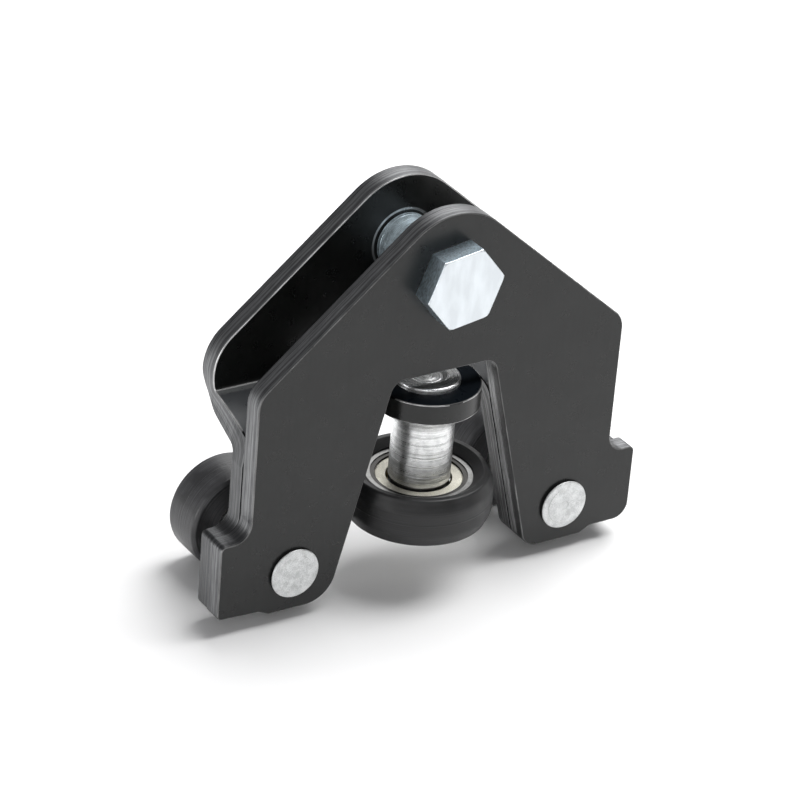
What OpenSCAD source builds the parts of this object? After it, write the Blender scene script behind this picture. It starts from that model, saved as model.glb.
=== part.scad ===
// Roller carriage for a sliding rail: two stamped steel cheeks joined at their feet,
// a guide roller that turns about a vertical pin, two load rollers that turn about
// axles square to the cheeks, and a pivot bolt with a spacer sleeve for the arm it carries.
// Millimetres. +Z is up and the front of the carriage faces -Y. The origin is on the
// pivot bolt's axis, midway between the two cheeks.

/* [Cheeks] */
// Thickness of both stamped cheeks
plate_t = 4.5; // [4:0.1:4.8]
// Clear gap between the cheeks at the pivot
gap = 14; // [13:0.5:15]
// Radius of the rounded top, concentric with the pivot
apex_r = 14; // [13:0.5:15]
// Slope of the top edges below horizontal
top_slope = 40.3; // [38:0.1:42]
// Half the width across the shoulders
shoulder_x = 41.7; // [41:0.1:43]
// Half the width across the front cheek's feet
foot_x = 48.1; // [47:0.1:50]
// Height of the notch above each foot
foot_top_z = -47.7; // [-49:0.1:-46]
// Lowest edge of the cheeks
foot_bottom_z = -65.45; // [-67:0.05:-64.5]
// Top of the arch between the legs
arch_top_z = -19.7; // [-21:0.1:-19]
// Half the width of the arch at its top
arch_top_x = 11.5; // [11.3:0.1:12.5]
// Lean of the arch's sides away from vertical
arch_lean = 14.3; // [14:0.1:16]

/* [Rear cheek bends] */
// Height of the bend under the rear cheek, on its front face
bend_z = -24; // [-25:0.1:-23]
// Slope of the web between the rear cheek and its legs
web_slope = 18.3; // [16:0.1:22]
// Half the width of the tab that carries the guide pin, and its end radius
tab_r = 10.8; // [10:0.1:11]

/* [Pivot] */
// Width across the flats of the pivot bolt's head and nut
hex_af = 15; // [14:0.5:17]
// Height of the pivot bolt's head
hex_h = 4.7; // [4:0.1:6.4]
// Turn of the bolt's head about its axis
hex_turn = 9.1; // [0:0.1:60]
// Radius of the pivot bolt
bolt_r = 5; // [4:0.5:5]
// Outer radius of the spacer sleeve
sleeve_r = 6.1; // [5.8:0.1:8]

/* [Guide roller] */
// Distance from the front cheek's front face back to the guide pin's axis
pin_depth = 6; // [5.5:0.1:6.5]
// Radius of the guide pin between the tab and the bearing
pin_r = 6.2; // [6.1:0.05:6.4]
// Height of the guide roller's middle
guide_z = -49.1; // [-50:0.1:-48]
// Tread radius of the guide roller
guide_r = 15; // [14.6:0.1:15.4]
// Width of the guide roller
guide_w = 10.3; // [10:0.1:11]

/* [Load rollers] */
// Distance of each load axle from the middle
axle_x = 31.5; // [31:0.1:32]
// Height of the load axles
axle_z = -57.1; // [-57.5:0.1:-56.5]
// Distance from the front cheek's front face back to the load rollers' middle
load_depth = 25.15; // [25:0.05:26]
// Tread radius of the load rollers
load_r = 11.1; // [10.8:0.1:11.3]
// Width of the load rollers
load_w = 10.3; // [9.5:0.1:11]

/* [Hidden] */
$fn = 96;
ball_facets = 48;
arc_step = 5;           // degrees of turn for each straight in a rounded corner
reach = 60;             // longer than any cut needs to be
over = 1;               // how far a cut reaches beyond the surface that it cuts
run_gap = 0.05;         // running clearance between bearing parts
fit_gap = 0.02;         // clearance of a pin in a hole that holds it

// Places along Y
front_y = -gap / 2 - plate_t;           // front face of the front cheek
leg_y = -gap / 2;                       // where the front cheek meets the rear legs
leg_back_y = leg_y + plate_t;           // back of the rear legs
cheek_y = gap / 2;                      // front face of the rear cheek
cheek_back_y = cheek_y + plate_t;       // back face of the rear cheek
pin_y = front_y + pin_depth;
load_y = front_y + load_depth;

// Cheek outline
notch_r = 3.75;
arch_corner_r = 3;
foot_top_r = 1.2;
foot_step_x = [36.6, 38.9];             // each foot's lower edge steps up between these
foot_step_r = 1.5;
rear_inset = 0.7;                       // the rear feet are this much smaller at the sides
// Each foot: [height of its lower edge above the cheek's lowest, at the outer corner and beside
// the step, radius of the outer corner, radius of the corner to the arch]
front_left_foot = [1.5, 1, 0.9, 6.8];
front_right_foot = [1.35, 1.3, 3.4, 3.8];
rear_foot = [0.4, 0.4, 1.5, 4];
apex_z = apex_r / cos(top_slope);       // where the two top edges would meet
shoulder_z = apex_z - shoulder_x * tan(top_slope);
// The sides from the shoulder down, as [x, z, corner radius]: the rear cheek is drawn in where it bends
waist_z = bend_z - 2.6;
front_shoulder = [[shoulder_x, shoulder_z, 5]];
rear_shoulder = [
    [shoulder_x, shoulder_z, 10.5],
    [shoulder_x - 1.45, waist_z, 7],
    [shoulder_x, waist_z - 7.4, 3]
];

// Bends of the rear cheek
inner_bend_r = 1;
leg_bend_r = 2.5;
outer_bend_r = 9;                       // the plate thins a little round the outside of the bend
tab_bend_r = inner_bend_r + plate_t;
web_drop = gap * tan(web_slope);        // fall of the web across the gap
web_thick_z = plate_t / cos(web_slope); // height of the web, measured straight down
relief_y = 4;                           // how far back the slots beside the tab reach
relief_top_z = bend_z + 1.5;
tab_top_z = bend_z - 0.5;
tab_bottom_z = tab_top_z - plate_t;
leg_arch_z = tab_bottom_z - 3;          // top of the arch behind the slots

// Pivot bolt, sleeve, washer and nut
hex_chamfer = 30;                       // angle of the chamfer on the head and nut
hex_face = 1.1;                         // radius of the chamfer's circle, as a share of half the flats
thread_pitch = 1.5;
thread_depth = 0.9;
bolt_end_y = cheek_back_y + 9.5;
bolt_lead = 1;                          // chamfer at the bolt's end
sleeve_chamfer = 0.4;
washer_t = 1.6;
washer_r = 8.6;
washer_split = 1.2;
washer_turn = 140;
nut_h = 5;
nut_turn = 22;
nut_y = cheek_back_y + washer_t;
nut_sink = 0.6;                         // countersink at both ends of the nut's bore

// Guide pin
pin_head_r = 6.6;
pin_head_h = 1.2;
pin_head_edge_r = 0.5;
pin_dish_h = 0.5;                       // depth of the dish in its head
pin_dish_r = 4;                         // radius of the dish at its top
pin_dish_floor_r = 3;
pin_spigot_r = 5;
pin_flare_r = 7.3;
pin_flare_t = 1.3;                      // straight edge of the flare under the tab
pin_flare_h = 3.4;
pin_flare_blend_r = 3;

// Load axles
axle_head_r = 5.25;
axle_head_h = 0.95;
axle_head_edge_r = 0.3;
axle_foot_r = 4.5;                      // radius of the head where it meets the cheek
axle_under_h = 0.5;                     // height of the head's undercut
axle_rim_w = 1.3;                       // outer band of the head, below its raised middle
axle_rise = 0.12;
axle_mark_r = 0.9;                      // centre mark in the head
axle_spigot_r = 4;
axle_shoulder_r = 4.6;

// Closed end of a pin or axle beyond its bearing
rivet_h = 1.1;
rivet_over = 1.3;                       // how far it spreads beyond the bore
rivet_edge_r = 0.6;

// Ball bearings: [bore radius, outer radius, width, ball radius, number of balls, depth of the shields]
guide_bearing = [4, 11, 7, 1.98, 7, 0.7];
load_bearing = [3, 8.5, 6, 1.75, 6, 0.3];
land = 0.72;                            // how far each race comes up the balls, as a share of their radius
ring_corner_r = 0.3;
seat_share = 0.6;                       // depth of a shield's seat, as a share of the outer ring's rim
shield_t = 0.3;
shield_gap = 0.6;                       // between a shield and the inner ring
shield_step = 0.15;                     // pressed step near the shield's edge
cage_t = 0.9;
clip_wire = 0.5;
clip_w = 0.9;
clip_split = 1.2;
clip_turn = 57;

// Tyres: [radius of the flat rim, width of the shoulder, radius of its crown]
guide_shape = [13.9, 2.6, 3];
load_shape = [10.5, 0.8, 0.8];
// Their openings: [overlap on the bearing's outer ring, height of that lip, widening to the face]
guide_mouth = [0.1, 0.3, 1.7];
load_mouth = [0.35, 0.5, 0.5];
mouth_r = 0.3;
rim_r = 0.6;
load_bore_r = 5.4;                      // hole in each load tyre's closed front, round its axle

function unit(v) = v / norm(v);

// The points of one corner at b, between a and c, rounded to radius r
function corner(a, b, c, r) =
    r < 0.01 ? [b] :
    let (
        u = unit(a - b),
        v = unit(c - b),
        half = acos(u * v) / 2,
        centre = b + unit(u + v) * r / sin(half),
        from = b + u * r / tan(half) - centre,
        to = b + v * r / tan(half) - centre,
        start = atan2(from.y, from.x),
        turn = atan2(from.x * to.y - from.y * to.x, from * to),
        steps = ceil(abs(turn) / arc_step)
    )
    [for (i = [0:steps]) let (t = start + turn * i / steps) centre + r * [cos(t), sin(t)]];

// A closed path of [x, y, corner radius] as points, with every corner rounded
function rounded(path) =
    let (n = len(path), at = [for (p = path) [p.x, p.y]])
    [for (i = [0:n - 1]) each corner(at[(i + n - 1) % n], at[i], at[(i + 1) % n], path[i].z)];

// A path mirrored to the other side of x = 0, in reverse order
function mirrored(path) = [for (i = [len(path) - 1:-1:0]) [-path[i].x, path[i].y, path[i].z]];

module along_y(y0, y1) {
    translate([0, y1, 0]) rotate([90, 0, 0]) linear_extrude(y1 - y0) children();
}

module along_x(x0, x1) {
    translate([x0, 0, 0]) rotate([90, 0, 90]) linear_extrude(x1 - x0) children();
}

// Stands children on an axis along Y, with their +Z towards the back
module on_axle(x, z) {
    translate([x, 0, z]) rotate([-90, 0, 0]) children();
}

module at_load_roller(side) {
    on_axle(side * axle_x, axle_z) translate([0, 0, load_y]) children();
}

module at_guide_roller() {
    translate([0, pin_y, guide_z]) children();
}

module round_bar(z0, z1, r) {
    translate([0, 0, z0]) cylinder(h = z1 - z0, r = r);
}

module ring(z0, z1, r_in, r_out) {
    difference() {
        round_bar(z0, z1, r_out);
        round_bar(z0 - over, z1 + over, r_in);
    }
}

/* ---- Cheeks ---- */

// Half the width between the arch's sides at height z
function arch_x(z) = arch_top_x + (arch_top_z - z) * tan(arch_lean);

// One side of the outline, from the shoulder down round the foot and up into the arch
function side_path(shoulder, foot, inset, arch_z) = concat(shoulder, [
    [shoulder_x, foot_top_z - inset, notch_r],
    [foot_x - inset, foot_top_z - inset, foot_top_r],
    [foot_x - inset, foot_bottom_z + foot[0], foot[2]],
    [foot_step_x[1], foot_bottom_z + foot[1], foot_step_r],
    [foot_step_x[0], foot_bottom_z, foot_step_r],
    [arch_x(foot_bottom_z), foot_bottom_z, foot[3]],
    [arch_x(arch_z), arch_z, arch_corner_r]
]);

// The outline of a cheek with an arch up to arch_z, and with its feet smaller by inset
module cheek_outline(shoulder, left_foot, right_foot, inset, arch_z) {
    polygon(rounded(concat(
        [[0, apex_z, apex_r]],
        side_path(shoulder, right_foot, inset, arch_z),
        mirrored(side_path(shoulder, left_foot, inset, arch_z))
    )));
}

// The opening between the legs, from below the feet up to top_z
module arch_opening(top_z) {
    low_z = foot_bottom_z - over;
    polygon(rounded([
        [-arch_x(low_z), low_z, 0],
        [-arch_x(top_z), top_z, arch_corner_r],
        [arch_x(top_z), top_z, arch_corner_r],
        [arch_x(low_z), low_z, 0]
    ]));
}

module cheek_holes() {
    on_axle(0, 0) round_bar(-reach, reach, bolt_r + fit_gap);
    for (side = [-1, 1]) {
        on_axle(side * axle_x, axle_z) round_bar(-reach, reach, axle_spigot_r + fit_gap);
    }
}

module front_cheek() {
    color("#3f4241")
    difference() {
        along_y(front_y, leg_y) cheek_outline(front_shoulder, front_left_foot, front_right_foot, 0, arch_top_z);
        cheek_holes();
    }
}

// The bent strip seen from the side, as [y, z]: cheek, sloping web, then leg
module rear_profile() {
    web_z = bend_z - web_thick_z;
    polygon(rounded([
        [cheek_y, reach, 0],
        [cheek_y, bend_z, inner_bend_r],
        [leg_y, bend_z - web_drop, leg_bend_r],
        [leg_y, -2 * reach, 0],
        [leg_back_y, -2 * reach, 0],
        [leg_back_y, web_z - (cheek_y - leg_back_y) * tan(web_slope), leg_bend_r],
        [cheek_back_y, web_z + plate_t * tan(web_slope), outer_bend_r],
        [cheek_back_y, reach, 0]
    ]));
}

// The tab's bend seen from the side, as [y, z]
module tab_profile() {
    polygon(rounded([
        [cheek_y, shoulder_z, 0],
        [cheek_y, tab_top_z, inner_bend_r],
        [pin_y, tab_top_z, 0],
        [pin_y, tab_bottom_z, 0],
        [cheek_back_y, tab_bottom_z, tab_bend_r],
        [cheek_back_y, shoulder_z, 0]
    ]));
}

module rear_cheek() {
    color("#343736")
    difference() {
        union() {
            difference() {
                intersection() {
                    along_x(-reach, reach) rear_profile();
                    along_y(-reach, reach)
                        cheek_outline(rear_shoulder, rear_foot, rear_foot, rear_inset, leg_arch_z);
                }
                along_y(-reach, relief_y) arch_opening(relief_top_z);
            }
            along_x(-tab_r, tab_r) tab_profile();
            translate([0, pin_y, 0]) round_bar(tab_bottom_z, tab_top_z, tab_r);
        }
        cheek_holes();
        translate([0, pin_y, 0]) round_bar(tab_bottom_z - over, tab_top_z + over, pin_spigot_r + fit_gap);
    }
}

/* ---- Pivot ---- */

// A hexagon of height h with its top edge chamfered to a circle
module hexagon(h) {
    corner_r = hex_af / 2 / cos(30);
    face_r = hex_af / 2 * hex_face;
    fall = (corner_r - face_r) * tan(hex_chamfer);
    intersection() {
        cylinder(h = h, r = corner_r, $fn = 6);
        rotate_extrude() polygon([
            [0, 0], [corner_r + over, 0], [corner_r + over, h - fall - over * tan(hex_chamfer)],
            [face_r, h], [0, h]
        ]);
    }
}

// A bolt shank from z0 to z1, chamfered at z1, with thread ridges beyond thread_z
module shank(z0, z1, r, thread_z) {
    turns = floor((z1 - bolt_lead - thread_z) / thread_pitch);
    ridges = [for (i = [0:turns - 1]) each [
        [r, thread_z + (i + 0.1) * thread_pitch],
        [r - thread_depth, thread_z + (i + 0.5) * thread_pitch],
        [r, thread_z + (i + 0.9) * thread_pitch]
    ]];
    rotate_extrude() polygon(concat(
        [[0, z0], [r, z0]], ridges, [[r, z1 - bolt_lead], [r - bolt_lead, z1], [0, z1]]
    ));
}

module pivot_bolt() {
    color("#c9ced3")
    union() {
        translate([0, front_y, 0]) rotate([90, 0, 0]) rotate([0, 0, hex_turn]) hexagon(hex_h);
        on_axle(0, 0) shank(front_y, bolt_end_y, bolt_r, nut_y + nut_h);
    }
}

module pivot_sleeve() {
    bore_r = bolt_r + run_gap;
    color("#aab2ba")
    on_axle(0, 0) rotate_extrude() polygon([
        [bore_r, leg_y], [sleeve_r - sleeve_chamfer, leg_y], [sleeve_r, leg_y + sleeve_chamfer],
        [sleeve_r, cheek_y - sleeve_chamfer], [sleeve_r - sleeve_chamfer, cheek_y], [bore_r, cheek_y]
    ]);
}

module pivot_spring_washer() {
    color("#8d949a")
    on_axle(0, 0) difference() {
        ring(cheek_back_y, nut_y, bolt_r + run_gap, washer_r);
        rotate([0, 0, washer_turn]) translate([0, -washer_split / 2, 0]) cube([reach, washer_split, reach]);
    }
}

module pivot_nut() {
    bore_r = bolt_r + fit_gap;
    wide_r = bore_r + nut_sink;
    color("#c9ced3")
    on_axle(0, 0) translate([0, 0, nut_y]) rotate([0, 0, nut_turn]) difference() {
        hexagon(nut_h);
        rotate_extrude() polygon([
            [0, -over], [wide_r, -over], [wide_r, 0], [bore_r, nut_sink],
            [bore_r, nut_h - nut_sink], [wide_r, nut_h], [wide_r, nut_h + over], [0, nut_h + over]
        ]);
    }
}

/* ---- Pins ---- */

// The closed end of a pin, spread over a bearing's inner ring, below z = 0
module rivet_end(r) {
    rotate_extrude() polygon(rounded([
        [0, 0, 0], [r + rivet_over, 0, 0], [r + rivet_over, -rivet_h, rivet_edge_r], [0, -rivet_h, 0]
    ]));
}

module guide_pin() {
    bore_r = guide_bearing[0];
    half_w = guide_bearing[2] / 2;
    head_z = tab_top_z + pin_head_h;
    color("#b9c0c6")
    translate([0, pin_y, 0]) union() {
        // Head on the tab, with a shallow dish
        rotate_extrude() polygon(rounded([
            [0, tab_top_z, 0],
            [pin_head_r, tab_top_z, 0],
            [pin_head_r, head_z, pin_head_edge_r],
            [pin_dish_r, head_z, pin_head_edge_r],
            [pin_dish_floor_r, head_z - pin_dish_h, 0],
            [0, head_z - pin_dish_h, 0]
        ]));
        round_bar(tab_bottom_z, tab_top_z, pin_spigot_r);
        // Body, flared where it bears on the tab
        rotate_extrude() polygon(rounded([
            [0, tab_bottom_z, 0],
            [pin_flare_r, tab_bottom_z, 0],
            [pin_flare_r, tab_bottom_z - pin_flare_t, 0],
            [pin_r, tab_bottom_z - pin_flare_h, pin_flare_blend_r],
            [pin_r, guide_z + half_w, 0],
            [0, guide_z + half_w, 0]
        ]));
        round_bar(guide_z - half_w, guide_z + half_w, bore_r - fit_gap);
        translate([0, 0, guide_z - half_w]) rivet_end(bore_r);
    }
}

module axle(side) {
    bore_r = load_bearing[0];
    ring_front_y = load_y - load_bearing[2] / 2;
    ring_back_y = load_y + load_bearing[2] / 2;
    rim_y = front_y - axle_head_h + axle_rise;
    middle_y = front_y - axle_head_h;
    color("#b4b7b8")
    on_axle(side * axle_x, axle_z) union() {
        // Undercut flat head with a slightly raised middle and a centre mark
        rotate_extrude() polygon(rounded([
            [0, front_y, 0],
            [axle_foot_r, front_y, 0],
            [axle_head_r, front_y - axle_under_h, 0],
            [axle_head_r, rim_y, axle_head_edge_r],
            [axle_head_r - axle_rim_w, rim_y, 0],
            [axle_head_r - axle_rim_w - axle_rise, middle_y, 0],
            [axle_mark_r, middle_y, 0],
            [axle_mark_r - axle_rise, middle_y + axle_rise, 0],
            [0, middle_y + axle_rise, 0]
        ]));
        round_bar(front_y, leg_back_y, axle_spigot_r);
        round_bar(leg_back_y, ring_front_y, axle_shoulder_r);
        round_bar(ring_front_y, ring_back_y, bore_r - fit_gap);
        translate([0, 0, ring_back_y]) mirror([0, 0, 1]) rivet_end(bore_r);
    }
}

module left_axle() { axle(-1); }
module right_axle() { axle(1); }

/* ---- Ball bearings, centred on z = 0 with their axis along z ---- */

function pitch_r(bearing) = (bearing[0] + bearing[1]) / 2;
function inner_land_r(bearing) = pitch_r(bearing) - bearing[3] * land;
function outer_land_r(bearing) = pitch_r(bearing) + bearing[3] * land;
function shield_seat_r(bearing) = bearing[1] - (bearing[1] - outer_land_r(bearing)) * seat_share;
function shield_z(bearing) = bearing[2] / 2 - bearing[5] - shield_t;

// The groove that the balls run in
module race(bearing) {
    rotate_extrude() translate([pitch_r(bearing), 0]) circle(r = bearing[3] + run_gap, $fn = ball_facets);
}

module outer_ring(bearing) {
    half_w = bearing[2] / 2;
    seat_z = shield_z(bearing);
    color("#b8babb")
    difference() {
        rotate_extrude() polygon(rounded([
            [outer_land_r(bearing), -half_w, 0], [bearing[1], -half_w, ring_corner_r],
            [bearing[1], half_w, ring_corner_r], [outer_land_r(bearing), half_w, 0]
        ]));
        race(bearing);
        round_bar(seat_z, half_w + over, shield_seat_r(bearing));
        round_bar(-half_w - over, -seat_z, shield_seat_r(bearing));
    }
}

module inner_ring(bearing) {
    half_w = bearing[2] / 2;
    color("#c2c4c5")
    difference() {
        rotate_extrude() polygon(rounded([
            [bearing[0], -half_w, ring_corner_r], [inner_land_r(bearing), -half_w, ring_corner_r],
            [inner_land_r(bearing), half_w, ring_corner_r], [bearing[0], half_w, ring_corner_r]
        ]));
        race(bearing);
    }
}

module balls(bearing) {
    color("#d5d7d8")
    for (i = [0:bearing[4] - 1]) {
        rotate([0, 0, i * 360 / bearing[4]]) translate([pitch_r(bearing), 0, 0]) {
            sphere(r = bearing[3], $fn = ball_facets);
        }
    }
}

// A ring of pockets that keeps the balls apart
module cage(bearing) {
    half_h = shield_z(bearing) - 4 * run_gap;
    color("#b08d4a")
    difference() {
        ring(-half_h, half_h, pitch_r(bearing) - cage_t / 2, pitch_r(bearing) + cage_t / 2);
        for (i = [0:bearing[4] - 1]) {
            rotate([0, 0, i * 360 / bearing[4]]) rotate([0, 90, 0]) {
                round_bar(0, bearing[1], bearing[3] + run_gap);
            }
        }
    }
}

// The thin pressed plate that closes one side of a bearing; side is 1 for the top
module shield(bearing, side) {
    low = shield_z(bearing);
    top = low + shield_t;
    in_r = inner_land_r(bearing) + shield_gap;
    step_r = outer_land_r(bearing) - 2 * shield_step;
    out_r = shield_seat_r(bearing) - fit_gap;
    color("#cfcbbb")
    mirror([0, 0, side < 0 ? 1 : 0])
    rotate_extrude() polygon([
        [in_r, low + shield_step], [step_r, low + shield_step], [step_r + shield_step, low],
        [out_r, low], [out_r, top], [step_r + shield_step, top],
        [step_r, top + shield_step], [in_r, top + shield_step]
    ]);
}

// The split wire that holds a shield in its seat
module clip(bearing, side) {
    low = shield_z(bearing) + shield_t;
    seat_r = shield_seat_r(bearing) - fit_gap;
    color("#8c8a84")
    mirror([0, 0, side < 0 ? 1 : 0])
    difference() {
        ring(low, low + clip_wire, seat_r - clip_w, seat_r);
        rotate([0, 0, clip_turn]) translate([0, -clip_split / 2, 0]) cube([reach, clip_split, reach]);
    }
}

/* ---- Tyres ---- */

// One side of a tyre of radius r and width w: its opening over the bearing, then its crowned shoulder
function open_mouth(bearing, w, mouth) = [
    [bearing[1], bearing[2] / 2, 0],
    [bearing[1] - mouth[0], bearing[2] / 2, 0],
    [bearing[1] - mouth[0], bearing[2] / 2 + mouth[1], 0],
    [bearing[1] + mouth[2], w / 2, mouth_r]
];
function closed_mouth(bearing, w, bore_r) = [
    [bearing[1], bearing[2] / 2, 0],
    [bore_r, bearing[2] / 2, 0],
    [bore_r, w / 2, mouth_r]
];
function crown(r, w, shape) = [
    [shape[0], w / 2, rim_r],
    [r, w / 2 - shape[1], shape[2]]
];

// A path turned over to the other side of y = 0, in reverse order
function turned_over(path) = [for (i = [len(path) - 1:-1:0]) [path[i].x, -path[i].y, path[i].z]];

// A moulded tyre from its upper and its lower mouth, each drawn as an upper one
module tyre(upper_mouth, lower_mouth, r, w, shape) {
    rotate_extrude() polygon(rounded(concat(
        upper_mouth,
        crown(r, w, shape),
        turned_over(concat(lower_mouth, crown(r, w, shape)))
    )));
}

/* ---- Guide roller ---- */

module guide_tyre() {
    mouth = open_mouth(guide_bearing, guide_w, guide_mouth);
    color("#2d2e30")
    at_guide_roller() tyre(mouth, mouth, guide_r, guide_w, guide_shape);
}

module guide_outer_ring() { at_guide_roller() outer_ring(guide_bearing); }
module guide_inner_ring() { at_guide_roller() inner_ring(guide_bearing); }
module guide_balls() { at_guide_roller() balls(guide_bearing); }
module guide_cage() { at_guide_roller() cage(guide_bearing); }
module guide_upper_shield() { at_guide_roller() shield(guide_bearing, 1); }
module guide_lower_shield() { at_guide_roller() shield(guide_bearing, -1); }
module guide_upper_clip() { at_guide_roller() clip(guide_bearing, 1); }
module guide_lower_clip() { at_guide_roller() clip(guide_bearing, -1); }

/* ---- Load rollers ---- */

// Open at the back, and closed over the bearing at the front
module load_tyre(side) {
    back = open_mouth(load_bearing, load_w, load_mouth);
    front = closed_mouth(load_bearing, load_w, load_bore_r);
    color("#252628")
    at_load_roller(side) tyre(back, front, load_r, load_w, load_shape);
}

module left_tyre() { load_tyre(-1); }
module left_outer_ring() { at_load_roller(-1) outer_ring(load_bearing); }
module left_inner_ring() { at_load_roller(-1) inner_ring(load_bearing); }
module left_balls() { at_load_roller(-1) balls(load_bearing); }
module left_cage() { at_load_roller(-1) cage(load_bearing); }
module left_front_shield() { at_load_roller(-1) shield(load_bearing, -1); }
module left_back_shield() { at_load_roller(-1) shield(load_bearing, 1); }

module right_tyre() { load_tyre(1); }
module right_outer_ring() { at_load_roller(1) outer_ring(load_bearing); }
module right_inner_ring() { at_load_roller(1) inner_ring(load_bearing); }
module right_balls() { at_load_roller(1) balls(load_bearing); }
module right_cage() { at_load_roller(1) cage(load_bearing); }
module right_front_shield() { at_load_roller(1) shield(load_bearing, -1); }
module right_back_shield() { at_load_roller(1) shield(load_bearing, 1); }

front_cheek();
rear_cheek();
pivot_bolt();
pivot_sleeve();
pivot_spring_washer();
pivot_nut();
guide_pin();
left_axle();
right_axle();
guide_tyre();
guide_outer_ring();
guide_inner_ring();
guide_balls();
guide_cage();
guide_upper_shield();
guide_lower_shield();
guide_upper_clip();
guide_lower_clip();
left_tyre();
left_outer_ring();
left_inner_ring();
left_balls();
left_cage();
left_front_shield();
left_back_shield();
right_tyre();
right_outer_ring();
right_inner_ring();
right_balls();
right_cage();
right_front_shield();
right_back_shield();
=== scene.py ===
import math

import bpy
from mathutils import Matrix, Vector


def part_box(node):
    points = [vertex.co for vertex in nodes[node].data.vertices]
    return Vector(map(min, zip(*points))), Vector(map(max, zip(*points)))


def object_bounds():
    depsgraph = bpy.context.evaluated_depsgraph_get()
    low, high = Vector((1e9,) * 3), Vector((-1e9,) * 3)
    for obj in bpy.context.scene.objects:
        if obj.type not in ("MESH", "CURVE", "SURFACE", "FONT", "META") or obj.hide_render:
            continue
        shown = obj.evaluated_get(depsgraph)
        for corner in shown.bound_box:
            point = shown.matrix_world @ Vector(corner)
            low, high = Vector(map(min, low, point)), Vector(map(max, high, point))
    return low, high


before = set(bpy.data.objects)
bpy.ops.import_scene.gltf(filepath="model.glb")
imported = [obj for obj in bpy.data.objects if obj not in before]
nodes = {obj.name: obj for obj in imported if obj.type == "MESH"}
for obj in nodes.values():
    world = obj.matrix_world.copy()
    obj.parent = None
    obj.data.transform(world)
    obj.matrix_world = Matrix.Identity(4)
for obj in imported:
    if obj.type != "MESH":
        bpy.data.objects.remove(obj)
cad_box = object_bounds()

MM = 0.001
SIDES = ("left", "right")
BEARINGS = ("guide", *SIDES)
PLATE = 4.5     # thickness of both cheeks, in millimetres

# Places taken from the frame, in millimetres
front_face_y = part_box("front_cheek")[0].y / MM      # the front cheek's front face
gap_front_y, gap_back_y = (corner.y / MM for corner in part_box("pivot_sleeve"))      # the cheeks' inner faces
bend_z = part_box("guide_pin")[1].z / MM - 0.7        # where the rear cheek bends into its web

WEB_SLOPE = math.radians(18.3)      # fall of the rear cheek's web towards its legs


def centre(node):
    """The middle of a node's box, in millimetres."""
    low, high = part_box(node)
    return (low + high) / 2 / MM


# ---- Node materials ----

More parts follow.
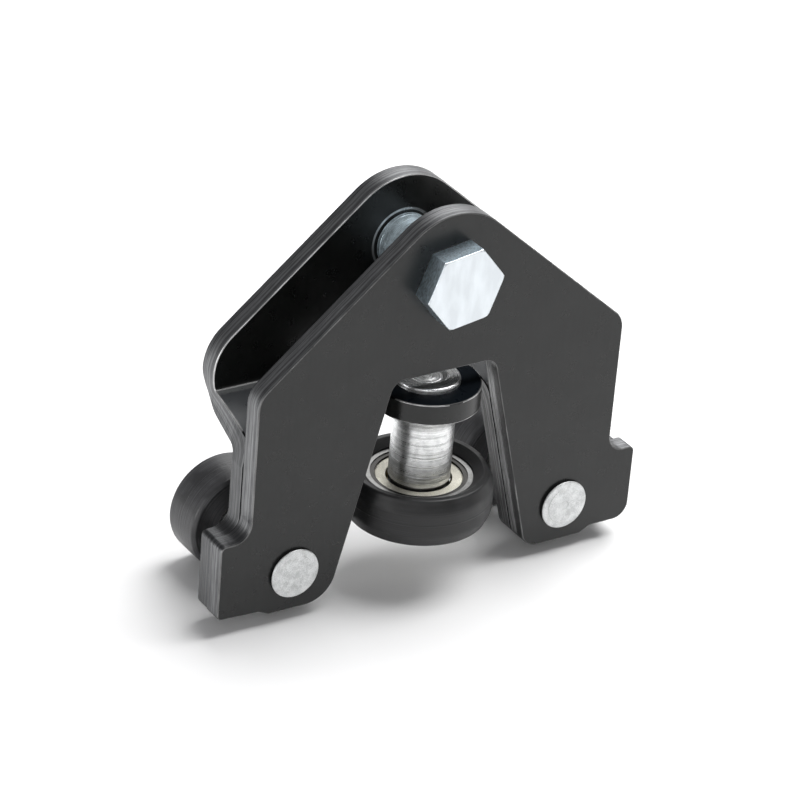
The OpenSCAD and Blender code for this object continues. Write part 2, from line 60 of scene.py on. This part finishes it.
class Shader:
    """A node material with one principled surface, its patterns sized in millimetres on the piece itself."""

    def __init__(self, name, metallic=0.0):
        self.material = bpy.data.materials.new(name)
        self.material.use_nodes = True
        self.nodes = self.material.node_tree.nodes
        self.links = self.material.node_tree.links
        self.nodes.clear()
        self.surface = self.add("ShaderNodeBsdfPrincipled", Metallic=metallic)
        output = self.add("ShaderNodeOutputMaterial")
        self.links.new(self.surface.outputs[0], output.inputs[0])
        coordinates = self.add("ShaderNodeTexCoord").outputs["Object"]
        self.place = self.vector("SCALE", coordinates, Scale=1 / MM)
        self.x, self.y, self.z = self.split(self.place)

    def put(self, socket, value):
        if isinstance(value, bpy.types.NodeSocket):
            self.links.new(value, socket)
        elif socket.type == "RGBA" and len(value) == 3:
            socket.default_value = (*value, 1)
        else:
            socket.default_value = value

    def add(self, kind, settings=None, **inputs):
        node = self.nodes.new(kind)
        for name, value in (settings or {}).items():
            setattr(node, name, value)
        for name, value in inputs.items():
            self.put(node.inputs[name.replace("_", " ")], value)
        return node

    def paint(self, color):
        self.put(self.surface.inputs["Base Color"], color)

    def rough(self, value):
        self.put(self.surface.inputs["Roughness"], value)

    def split(self, vector):
        return self.add("ShaderNodeSeparateXYZ", Vector=vector).outputs[:3]

    def vector(self, operation, a, b=None, **inputs):
        node = self.add("ShaderNodeVectorMath", {"operation": operation}, **inputs)
        self.put(node.inputs[0], a)
        if b is not None:
            self.put(node.inputs[1], b)
        return node.outputs["Value" if operation in ("LENGTH", "DOT_PRODUCT") else "Vector"]

    def math(self, operation, *values):
        node = self.add("ShaderNodeMath", {"operation": operation})
        for socket, value in zip(node.inputs, values):
            self.put(socket, value)
        return node.outputs[0]

    def times(self, first, *others):
        """The product of all the values."""
        product = first
        for other in others:
            product = self.math("MULTIPLY", product, other)
        return product

    def between(self, value, low, high, start=0.35, end=0.65):
        """value, which runs from start to end, turned into low to high and held there."""
        node = self.add("ShaderNodeMapRange", Value=value)
        for socket, number in zip(node.inputs[1:5], (start, end, low, high)):
            self.put(socket, number)
        return node.outputs[0]

    def rise(self, value, start, end):
        """0 up to start and 1 from end on."""
        return self.between(value, 0, 1, start, end)

    def fall(self, value, start, end):
        """1 up to start and 0 from end on."""
        return self.between(value, 1, 0, start, end)

    def band(self, value, start, end, soft):
        """1 between start and end, faded to 0 over the width soft inside each of them."""
        return self.times(self.rise(value, start, start + soft), self.fall(value, end - soft, end))

    def mix(self, share, a, b):
        """Colour a where share is 0 and colour b where it is 1."""
        node = self.add("ShaderNodeMix", {"data_type": "RGBA"})
        for socket, value in zip((node.inputs[0], node.inputs[6], node.inputs[7]), (share, a, b)):
            self.put(socket, value)
        return node.outputs[2]

    def noise(self, size, detail=2.0, stretch=(1, 1, 1), roughness=0.5):
        """Soft noise with lumps of about size, drawn out by stretch along X, Y and Z."""
        place = self.vector("DIVIDE", self.place, stretch)
        return self.add(
            "ShaderNodeTexNoise", Vector=place, Scale=1 / size, Detail=detail, Roughness=roughness
        ).outputs[0]

    def rings(self, distance, size, detail=3.0):
        """Noise that depends only on distance, for turned and ground rings."""
        return self.add(
            "ShaderNodeTexNoise", {"noise_dimensions": "1D"}, W=distance, Scale=1 / size, Detail=detail
        ).outputs[0]

    def axis_distance(self, axis, middle):
        """Distance from the line through middle along axis, and the place along that line."""
        offset = self.vector("SUBTRACT", self.place, middle)
        across = [0.0 if name == axis else 1.0 for name in "XYZ"]
        flat = self.vector("MULTIPLY", offset, across)
        return self.vector("LENGTH", flat), self.split(offset)["XYZ".index(axis)]

    def bump(self, height, depth):
        """Raises the surface by height times depth, in millimetres."""
        node = self.add("ShaderNodeBump", Height=height, Distance=depth * MM, Strength=1.0)
        self.put(self.surface.inputs["Normal"], node.outputs[0])

    def true_normal(self):
        """The X, Y and Z parts of the surface's own normal."""
        return self.split(self.add("ShaderNodeNewGeometry").outputs["True Normal"])


def front_depth(m):
    """How far a point lies behind the front cheek's front face."""
    return m.math("SUBTRACT", m.y, front_face_y)


def rear_depth(m):
    """The same for the rear cheek, whose front face runs down the cheek, the web and then the legs."""
    cheek = m.math("SUBTRACT", m.y, gap_back_y)
    leg = m.math("SUBTRACT", m.y, gap_front_y)
    web_z = m.math("ADD", m.times(cheek, math.tan(WEB_SLOPE)), bend_z)
    web = m.times(m.math("SUBTRACT", web_z, m.z), math.cos(WEB_SLOPE))
    return m.math("SMOOTH_MAX", cheek, m.math("SMOOTH_MIN", leg, web, 6), 2)


def web_share(m, normal):
    """1 on the rear cheek's web, the only face that looks up near the bend, and 0 elsewhere."""
    return m.times(m.rise(normal[2], 0.8, 0.9), m.band(m.z, bend_z - 7, bend_z + 4, 1))


def rubbed_ring_and_glint(m):
    """The rubbed ring that the spacer sleeve leaves around itself on each cheek's inner face: bare metal, with
    a painted glint that grows brighter towards its top, where the light falls.
    """
    radius, along = m.axis_distance("Y", (0, 0, 0))
    off_face = m.math("ABSOLUTE", m.math("SUBTRACT", m.math("ABSOLUTE", along), gap_back_y))
    # Painted glint: the ring is made brighter towards its top, where the light falls on it.
    painted_glint_on_top = m.between(m.z, 0.3, 1, -1, 5)
    return m.times(m.band(radius, 6.5, 7.1, 0.15), m.fall(off_face, 0.1, 0.2), painted_glint_on_top)


def coat_color(m, web):
    """Cloudy near-black on the plates' faces; bluer on the web, a painted tint for the light that falls on its
    up-facing slope, with a ragged pale crease along its top.
    """
    cloud = m.noise(7, 3)
    drift = m.noise(0.9, 3, (1, 1, 7))
    coat = m.mix(m.between(cloud, 0, 1), (0.0042, 0.0046, 0.0044), (0.0072, 0.0077, 0.0074))
    coat = m.mix(m.between(drift, 0, 0.3), coat, (0.010, 0.0105, 0.0102))
    ragged_z = m.math("ADD", m.z, m.times(m.noise(0.8, 4, roughness=0.7), 1.4))
    crease = m.times(m.rise(ragged_z, bend_z - 0.1, bend_z + 0.3), m.rise(m.y, 5.2, 5.6))
    # Painted light: the up-facing web gets a bluer copy of the coat.
    return m.mix(web, coat, m.mix(crease, (0.006, 0.008, 0.0105), (0.045, 0.047, 0.048)))


def coat_gloss(m, web):
    """The same gloss everywhere but on the web, which has half of it at the back and less to the front,
    painted shade where the web runs down to the front cheek.
    """
    off_web = m.between(web, 0.44, 0, 0, 1)
    # Painted shade: the web's gloss fades towards the front cheek.
    web_gloss_with_painted_shade = m.times(m.between(web, 0.44, 0.22, 0, 1), m.between(m.y, 0.1, 1, -6, 0))
    return m.math("MAXIMUM", web_gloss_with_painted_shade, off_web)


def sheared_tone(m, normal, depth, lines):
    """How pale a sheared side is: lined and smeared, with a paler strip through its middle. Painted shade
    makes it darker where it faces down, on the left foot's top and on the rear legs."""
    strip = m.band(depth, 1.1, 2.9, 0.6)
    smear = m.noise(0.5, 3, (9, 1, 9), 0.6)
    tone = m.times(m.rise(lines, 0.40, 0.60), 0.5)
    tone = m.math("ADD", tone, m.times(strip, 0.2))
    tone = m.math("ADD", tone, m.times(m.between(smear, 0, 1), 0.3))
    faces_up = m.rise(normal[2], 0.4, 0.8)
    left_foot_top_shade = m.times(faces_up, m.fall(m.z, bend_z - 12, bend_z - 9), m.fall(m.x, -10, 10))
    leg_back_y = gap_front_y + PLATE
    rear_leg_shade = m.times(m.rise(m.y, gap_front_y, gap_front_y + 1.5), m.fall(m.y, leg_back_y, leg_back_y + 2.5))
    # Painted shade: darker where the side faces down, on the left foot's top and on the rear legs.
    return m.times(
        tone,
        m.between(normal[2], 0.3, 1, -0.5, -0.1),
        m.between(left_foot_top_shade, 1, 0.35, 0, 1),
        m.between(rear_leg_shade, 1, 0.5, 0, 1),
    )


def sheared_color(m, normal, depth, tone, smooth_depth):
    """Grey sheared steel; inside the arch, torn steel and a smooth dark band over the depths smooth_depth."""
    side = m.mix(tone, (0.05, 0.051, 0.053), (0.27, 0.274, 0.28))
    torn = m.mix(m.rise(tone, 0.15, 0.75), (0.03, 0.03, 0.031), (0.50, 0.505, 0.51))
    uneven_depth = m.math("ADD", depth, m.times(m.noise(1.5, 3), 0.8))
    smooth_start, smooth_end = smooth_depth
    smooth = m.band(uneven_depth, smooth_start, smooth_end + 0.3, 0.3)
    inside_arch = m.fall(m.times(normal[0], m.x), -6, -2)
    return m.mix(inside_arch, side, m.mix(smooth, torn, (0.025, 0.025, 0.026)))


def stamped_coat(name, depth_of, smooth_depth):
    """Satin black coat: even on the plates' faces, lined and greyer where the plates were sheared."""
    m = Shader(name)
    normal = m.true_normal()
    web = web_share(m, normal)
    sheared = m.times(m.fall(m.math("ABSOLUTE", normal[1]), 0.05, 0.2), m.math("SUBTRACT", 1, web))
    depth = depth_of(m)
    lines = m.rings(m.math("ADD", depth, m.times(m.noise(6, 2), 0.5)), 0.42, 4)
    tone = sheared_tone(m, normal, depth, lines)
    # The ring around the sleeve: rubbed bare metal with a painted glint towards its top.
    pressed = rubbed_ring_and_glint(m)

    face = m.mix(pressed, coat_color(m, web), (0.62, 0.63, 0.64))
    m.paint(m.mix(sheared, face, sheared_color(m, normal, depth, tone, smooth_depth)))
    m.put(m.surface.inputs["Metallic"], m.math("MAXIMUM", sheared, pressed))
    m.put(m.surface.inputs["Specular IOR Level"], coat_gloss(m, web))
    satin = m.between(m.noise(2.5, 3), 0.27, 0.33)
    m.rough(m.between(sheared, satin, 0.38, 0, 1))
    fine = m.times(m.noise(0.4, 2), 0.06)
    m.bump(m.math("ADD", fine, m.times(lines, sheared, 0.7)), 0.10)
    return m.material


def edge_wear_and_highlight(name, pale):
    """A plate's rounded edges: a thin pale line at its open front, partly rubbed wear and partly painted
    highlight, left off the edges that face up; painted shade between the plates, where the edges are blacker
    and lose their gloss.
    """
    m = Shader(name)
    normal = m.true_normal()
    seam = m.band(m.y, gap_front_y - 3, gap_front_y + 3.5, 0.5)
    off_bend = m.math("ABSOLUTE", m.math("SUBTRACT", m.z, bend_z))
    crease = m.times(m.fall(m.math("ABSOLUTE", normal[0]), 0.1, 0.2), m.fall(off_bend, 1.2, 1.5))
    # The pale line: partly rubbed wear, partly painted highlight, kept off the edges that face up.
    worn = m.times(
        m.fall(normal[1], -0.2, -0.05),
        m.math("SUBTRACT", 1, seam),
        m.between(normal[2], 1, 0.15, 0.55, 0.85),
        m.math("SUBTRACT", 1, crease),
    )
    rubbed = m.between(m.noise(2.5, 4, (2, 1, 2), 0.6), 0.4, 1)
    # Painted shade: between the plates the edges are blacker and lose their gloss.
    black = m.mix(seam, (0.012, 0.012, 0.012), (0.003, 0.003, 0.003))
    m.paint(m.mix(m.times(worn, rubbed), black, [pale] * 3))
    m.put(m.surface.inputs["Metallic"], worn)
    m.put(m.surface.inputs["Specular IOR Level"], m.between(seam, 0.4, 0.02, 0, 1))
    m.rough(0.35)
    m.bump(m.noise(0.3, 2), 0.01)
    return m.material


def zinc_plate(name, color, brushing, roughness, side_shade_color=None):
    """Zinc plate with fine brushing and a faint cloudiness, both drawn out by brushing along X, Y and Z.
    side_shade_color is painted shade: a bluer colour, darkened by the brushing streaks, for faces that don't
    look along Y."""
    m = Shader(name, metallic=1.0)
    cloud = m.noise(2.2, 4, brushing)
    fine = m.noise(0.12, 3, brushing)
    pale = [c * 1.06 for c in color]
    dull = [c * 0.93 for c in color]
    plate = m.mix(m.between(cloud, 0, 1), dull, pale)
    if side_shade_color:
        side = m.fall(m.math("ABSOLUTE", m.true_normal()[1]), 0.1, 0.5)
        streaks = m.between(m.noise(0.35, 3, (1, 1, 3)), 0.6, 1)
        # Painted shade: faces that don't look along Y get a darker, bluer copy of the zinc.
        plate = m.mix(side, plate, m.mix(streaks, (0, 0, 0), side_shade_color))
    m.paint(plate)
    m.rough(m.between(fine, roughness - 0.07, roughness + 0.08))
    m.bump(fine, 0.018)
    return m.material


def turned_zinc(name, axis, middle, color, dullness, groove, metallic=1.0):
    """Zinc plate over turned steel: fine rings about an axis, with a few deeper tool marks.
    dullness is how much darker its stains are, and groove how deep its rings are in millimetres."""
    m = Shader(name, metallic)
    radius, along = m.axis_distance(axis, middle)
    wobble = m.times(m.noise(3, 2), 0.35)
    travel = m.math("ADD", m.math("ADD", radius, along), wobble)
    fine = m.rings(travel, 0.16, 3)
    marks = m.rise(m.rings(travel, 0.9, 1), 0.56, 0.66)
    cloud = m.noise(1.3, 4)
    dull = [c * (1 - dullness) for c in color]
    stain = m.math("ADD", m.between(cloud, 0, 0.45, 0.42, 0.62), m.between(fine, 0, 0.4, 0.42, 0.62))
    m.paint(m.mix(m.math("ADD", stain, m.times(marks, 0.35)), color, dull))
    m.rough(m.between(fine, 0.26, 0.40))
    m.bump(m.math("ADD", fine, m.times(marks, 1.2)), groove)
    return m.material


def rivet_grey(name, middle):
    """Matte, slightly granular grey with faint pressing rings about the axle."""
    m = Shader(name, metallic=0.75)
    radius = m.axis_distance("Y", middle)[0]
    grain = m.noise(0.22, 3, roughness=0.7)
    cloud = m.noise(1.6, 3)
    ring = m.rings(radius, 0.7, 2)
    tone = m.math("ADD", m.times(grain, 0.55), m.times(cloud, 0.45))
    m.paint(m.mix(m.rise(tone, 0.4, 0.6), (0.51, 0.52, 0.52), (0.80, 0.81, 0.81)))
    m.rough(m.between(cloud, 0.42, 0.55))
    m.bump(m.math("ADD", grain, m.times(ring, 0.8)), 0.035)
    return m.material


def moulded_plastic(name, axis, middle, color, roughness):
    """Black moulded plastic with a low mould seam and fine lines left by the rail around its tread."""
    m = Shader(name)
    radius, along = m.axis_distance(axis, middle)
    fine = m.noise(0.25, 3)
    lines = m.rings(m.math("ADD", along, radius), 0.35, 3)
    cloud = m.noise(4, 3)
    seam = m.fall(m.math("ABSOLUTE", along), 0.08, 0.16)
    worn = m.times(m.between(lines, 0, 1), m.between(cloud, 0, 1))
    m.paint(m.mix(worn, [c * 0.8 for c in color], [c * 2.4 for c in color]))
    m.rough(m.between(cloud, roughness - 0.05, roughness + 0.07))
    height = m.math("ADD", fine, m.times(lines, 0.6))
    m.bump(m.math("ADD", height, m.times(seam, 1.5)), 0.02)
    return m.material


def ground_steel(name, axis, middle, color, roughness):
    """Ground and polished bearing steel with very fine rings."""
    m = Shader(name, metallic=1.0)
    radius, along = m.axis_distance(axis, middle)
    fine = m.rings(m.math("ADD", radius, along), 0.09, 3)
    stain = m.noise(1.8, 4)
    m.paint(m.mix(m.between(stain, 0, 0.6, 0.45, 0.65), color, [c * 0.6 for c in color]))
    m.rough(m.between(fine, roughness - 0.05, roughness + 0.08))
    m.bump(fine, 0.008)
    return m.material


def shield_sheet(name):
    """Thin pressed sheet with a warm, dry, granular finish."""
    m = Shader(name, metallic=0.45)
    grain = m.noise(0.2, 3, roughness=0.7)
    cloud = m.noise(1.5, 3)
    m.paint(m.mix(m.between(grain, 0, 1), (0.58, 0.56, 0.47), (0.88, 0.85, 0.74)))
    m.rough(m.between(cloud, 0.40, 0.55))
    m.bump(grain, 0.02)
    return m.material


def polished_ball(name):
    """Mirror-bright ball steel with a slight haze."""
    m = Shader(name, metallic=1.0)
    haze = m.noise(0.6, 3)
    m.paint((0.78, 0.79, 0.80))
    m.rough(m.between(haze, 0.08, 0.16))
    m.bump(haze, 0.002)
    return m.material


def cage_tint(name):
    """Pressed cage steel with an uneven yellow tint."""
    m = Shader(name, metallic=1.0)
    tint = m.noise(1.1, 3)
    m.paint(m.mix(m.between(tint, 0, 1), (0.42, 0.36, 0.24), (0.66, 0.50, 0.22)))
    m.rough(m.between(tint, 0.30, 0.44))
    m.bump(m.noise(0.2, 2), 0.01)
    return m.material


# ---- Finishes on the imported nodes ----

def dress(node, *materials):
    """Gives a node its materials: the first on its faces, any second one on its rounded edges."""
    slots = nodes[node].data.materials
    slots.clear()
    for material in materials:
        slots.append(material)


def round_edges(node, width, angle=30, edge_slot=0):
    """Rounds every edge that turns by more than angle, width in millimetres."""
    piece = nodes[node]
    weld = piece.modifiers.new("weld", "WELD")
    weld.merge_threshold = 0.001 * MM
    flat = piece.modifiers.new("flat", "DECIMATE")
    flat.decimate_type = "DISSOLVE"
    flat.angle_limit = math.radians(0.5)
    bevel = piece.modifiers.new("bevel", "BEVEL")
    bevel.width = width * MM
    bevel.segments = 3
    bevel.limit_method = "ANGLE"
    bevel.angle_limit = math.radians(angle)
    bevel.use_clamp_overlap = False
    bevel.material = edge_slot
    normals = piece.modifiers.new("normals", "WEIGHTED_NORMAL")
    normals.keep_sharp = False
    normals.weight = 80


def dress_cheek(cheek, depth_of, smooth_depth, edge_width, pale):
    """Gives a cheek its coat and its rounded edges, worn and with a painted highlight line, and with painted
    shade between the plates.
    """
    coat = stamped_coat(f"black_coat_{cheek}", depth_of, smooth_depth)
    dress(cheek, coat, edge_wear_and_highlight(f"edge_wear_and_highlight_{cheek}", pale))
    round_edges(cheek, edge_width, edge_slot=1)


dress_cheek("front_cheek", front_depth, (0.0, 2.2), 0.22, 0.20)
dress_cheek("rear_cheek", rear_depth, (3.0, 3.8), 0.25, 0.80)

# The bolt's and nut's sides get painted shade in a bluer zinc.
bolt_zinc = zinc_plate("zinc_bright", (0.70, 0.74, 0.77), (1, 1, 3), 0.36, side_shade_color=(0.60, 0.72, 0.80))
dress("pivot_bolt", bolt_zinc)
dress("pivot_nut", bolt_zinc)
round_edges("pivot_bolt", 0.15, angle=20)
round_edges("pivot_nut", 0.15, angle=20)
dress("pivot_sleeve", turned_zinc(
    "zinc_turned_sleeve", "Y", (0, 0, 0), (0.72, 0.86, 0.94), dullness=0.62, groove=0.03, metallic=0.75
))
dress("pivot_spring_washer", zinc_plate("zinc_dull", (0.42, 0.44, 0.46), (1, 1, 1), 0.42))
round_edges("pivot_spring_washer", 0.15)
dress("guide_pin", turned_zinc(
    "zinc_turned_pin", "Z", centre("guide_pin"), (0.99, 1.0, 1.0), dullness=0.35, groove=0.05
))

for side in SIDES:
    dress(f"{side}_axle", rivet_grey(f"rivet_grey_{side}", centre(f"{side}_axle")))

for name in BEARINGS:
    axis = "Z" if name == "guide" else "Y"
    middle = centre(f"{name}_outer_ring")
    ring_steel = ground_steel(f"bearing_steel_{name}", axis, middle, (0.22, 0.22, 0.215), 0.30)
    dress(f"{name}_outer_ring", ring_steel)
    dress(f"{name}_inner_ring", ring_steel)
    dress(f"{name}_balls", polished_ball(f"ball_steel_{name}"))
    dress(f"{name}_cage", cage_tint(f"cage_brass_{name}"))
    color, gloss = ((0.006, 0.006, 0.0065), 0.48) if name == "guide" else ((0.028, 0.028, 0.030), 0.38)
    dress(f"{name}_tyre", moulded_plastic(f"tyre_{name}", axis, middle, color, gloss))
    shields = ("upper", "lower") if name == "guide" else ("front", "back")
    sheet = shield_sheet(f"shield_steel_{name}")
    for place in shields:
        dress(f"{name}_{place}_shield", sheet)

clip_steel = zinc_plate("clip_steel", (0.05, 0.048, 0.045), (1, 1, 1), 0.35)
for place in ("upper", "lower"):
    dress(f"guide_{place}_clip", clip_steel)


# ---- Stage, light and camera ----

floor_z = cad_box[0][2]


def soft_floor():
    """A plain pale floor under the object."""
    size = 4.0
    mesh = bpy.data.meshes.new("floor")
    corners = ((-size, -size), (size, -size), (size, size), (-size, size))
    mesh.from_pydata([(x, y, floor_z) for x, y in corners], [], [(0, 1, 2, 3)])
    floor = bpy.data.objects.new("floor", mesh)
    bpy.context.scene.collection.objects.link(floor)
    m = Shader("floor_paper")
    m.rough(0.9)
    m.paint(m.mix(m.between(m.noise(120, 2), 0, 1), (0.80, 0.80, 0.80), (0.84, 0.84, 0.84)))
    m.bump(m.noise(0.6, 2), 0.01)
    mesh.materials.append(m.material)


def area_light(name, place, aim, width, height, power):
    """A soft rectangular light at place, in metres, that faces aim."""
    data = bpy.data.lights.new(name, "AREA")
    data.shape = "RECTANGLE"
    data.size = width
    data.size_y = height
    data.energy = power
    light = bpy.data.objects.new(name, data)
    light.location = place
    light.rotation_euler = (Vector(place) - Vector(aim)).to_track_quat("Z", "Y").to_euler()
    bpy.context.scene.collection.objects.link(light)


def studio_world():
    """Even surroundings, bright at the horizon and darker overhead."""
    world = bpy.data.worlds.new("studio")
    world.use_nodes = True
    tree = world.node_tree
    tree.nodes.clear()
    direction = tree.nodes.new("ShaderNodeTexCoord").outputs["Generated"]
    split = tree.nodes.new("ShaderNodeSeparateXYZ")
    tree.links.new(direction, split.inputs[0])
    ramp = tree.nodes.new("ShaderNodeValToRGB")
    tree.links.new(split.outputs[2], ramp.inputs[0])
    ramp.color_ramp.elements[0].position = 0.0
    ramp.color_ramp.elements[0].color = (0.45, 0.45, 0.45, 1)
    ramp.color_ramp.elements[1].position = 0.8
    ramp.color_ramp.elements[1].color = (0.24, 0.24, 0.25, 1)
    background = tree.nodes.new("ShaderNodeBackground")
    tree.links.new(ramp.outputs[0], background.inputs[0])
    background.inputs[1].default_value = 0.75
    output = tree.nodes.new("ShaderNodeOutputWorld")
    tree.links.new(background.outputs[0], output.inputs[0])
    bpy.context.scene.world = world


def camera():
    """The camera, placed by the direction it looks from, its roll and the point it aims at."""
    azimuth, elevation, roll = (math.radians(a) for a in (-34.208, 28.625, 4.839))
    distance = 0.750
    aim = Vector((-13.24, -16.21, -20.77)) * MM
    back = Vector((
        math.sin(azimuth) * math.cos(elevation),
        -math.cos(azimuth) * math.cos(elevation),
        math.sin(elevation),
    ))
    right = Vector((math.cos(azimuth), math.sin(azimuth), 0))
    up = back.cross(right)
    turned_right = right * math.cos(roll) + up * math.sin(roll)
    turned_up = up * math.cos(roll) - right * math.sin(roll)
    data = bpy.data.cameras.new("camera")
    data.sensor_width = 36
    data.lens = 176.92
    shot = bpy.data.objects.new("camera", data)
    turn = Matrix((turned_right, turned_up, back)).transposed()
    shot.matrix_world = Matrix.Translation(aim + back * distance) @ turn.to_4x4()
    bpy.context.scene.collection.objects.link(shot)
    bpy.context.scene.camera = shot


soft_floor()
studio_world()
camera()
area_light("top", (0.45, 0.05, 1.00), (0, 0, -0.05), 0.9, 0.9, 21)
area_light("left", (-0.85, 0.05, 0.08), (0, 0, -0.04), 0.6, 0.25, 2.5)
area_light("back_right", (0.55, 0.80, 0.50), (0, 0, -0.03), 0.7, 0.5, 2.5)
area_light("front_left", (-0.50, -0.74, 0.48), (0, 0, -0.03), 0.5, 0.4, 1.2)
bpy.context.scene.view_settings.view_transform = "Standard"
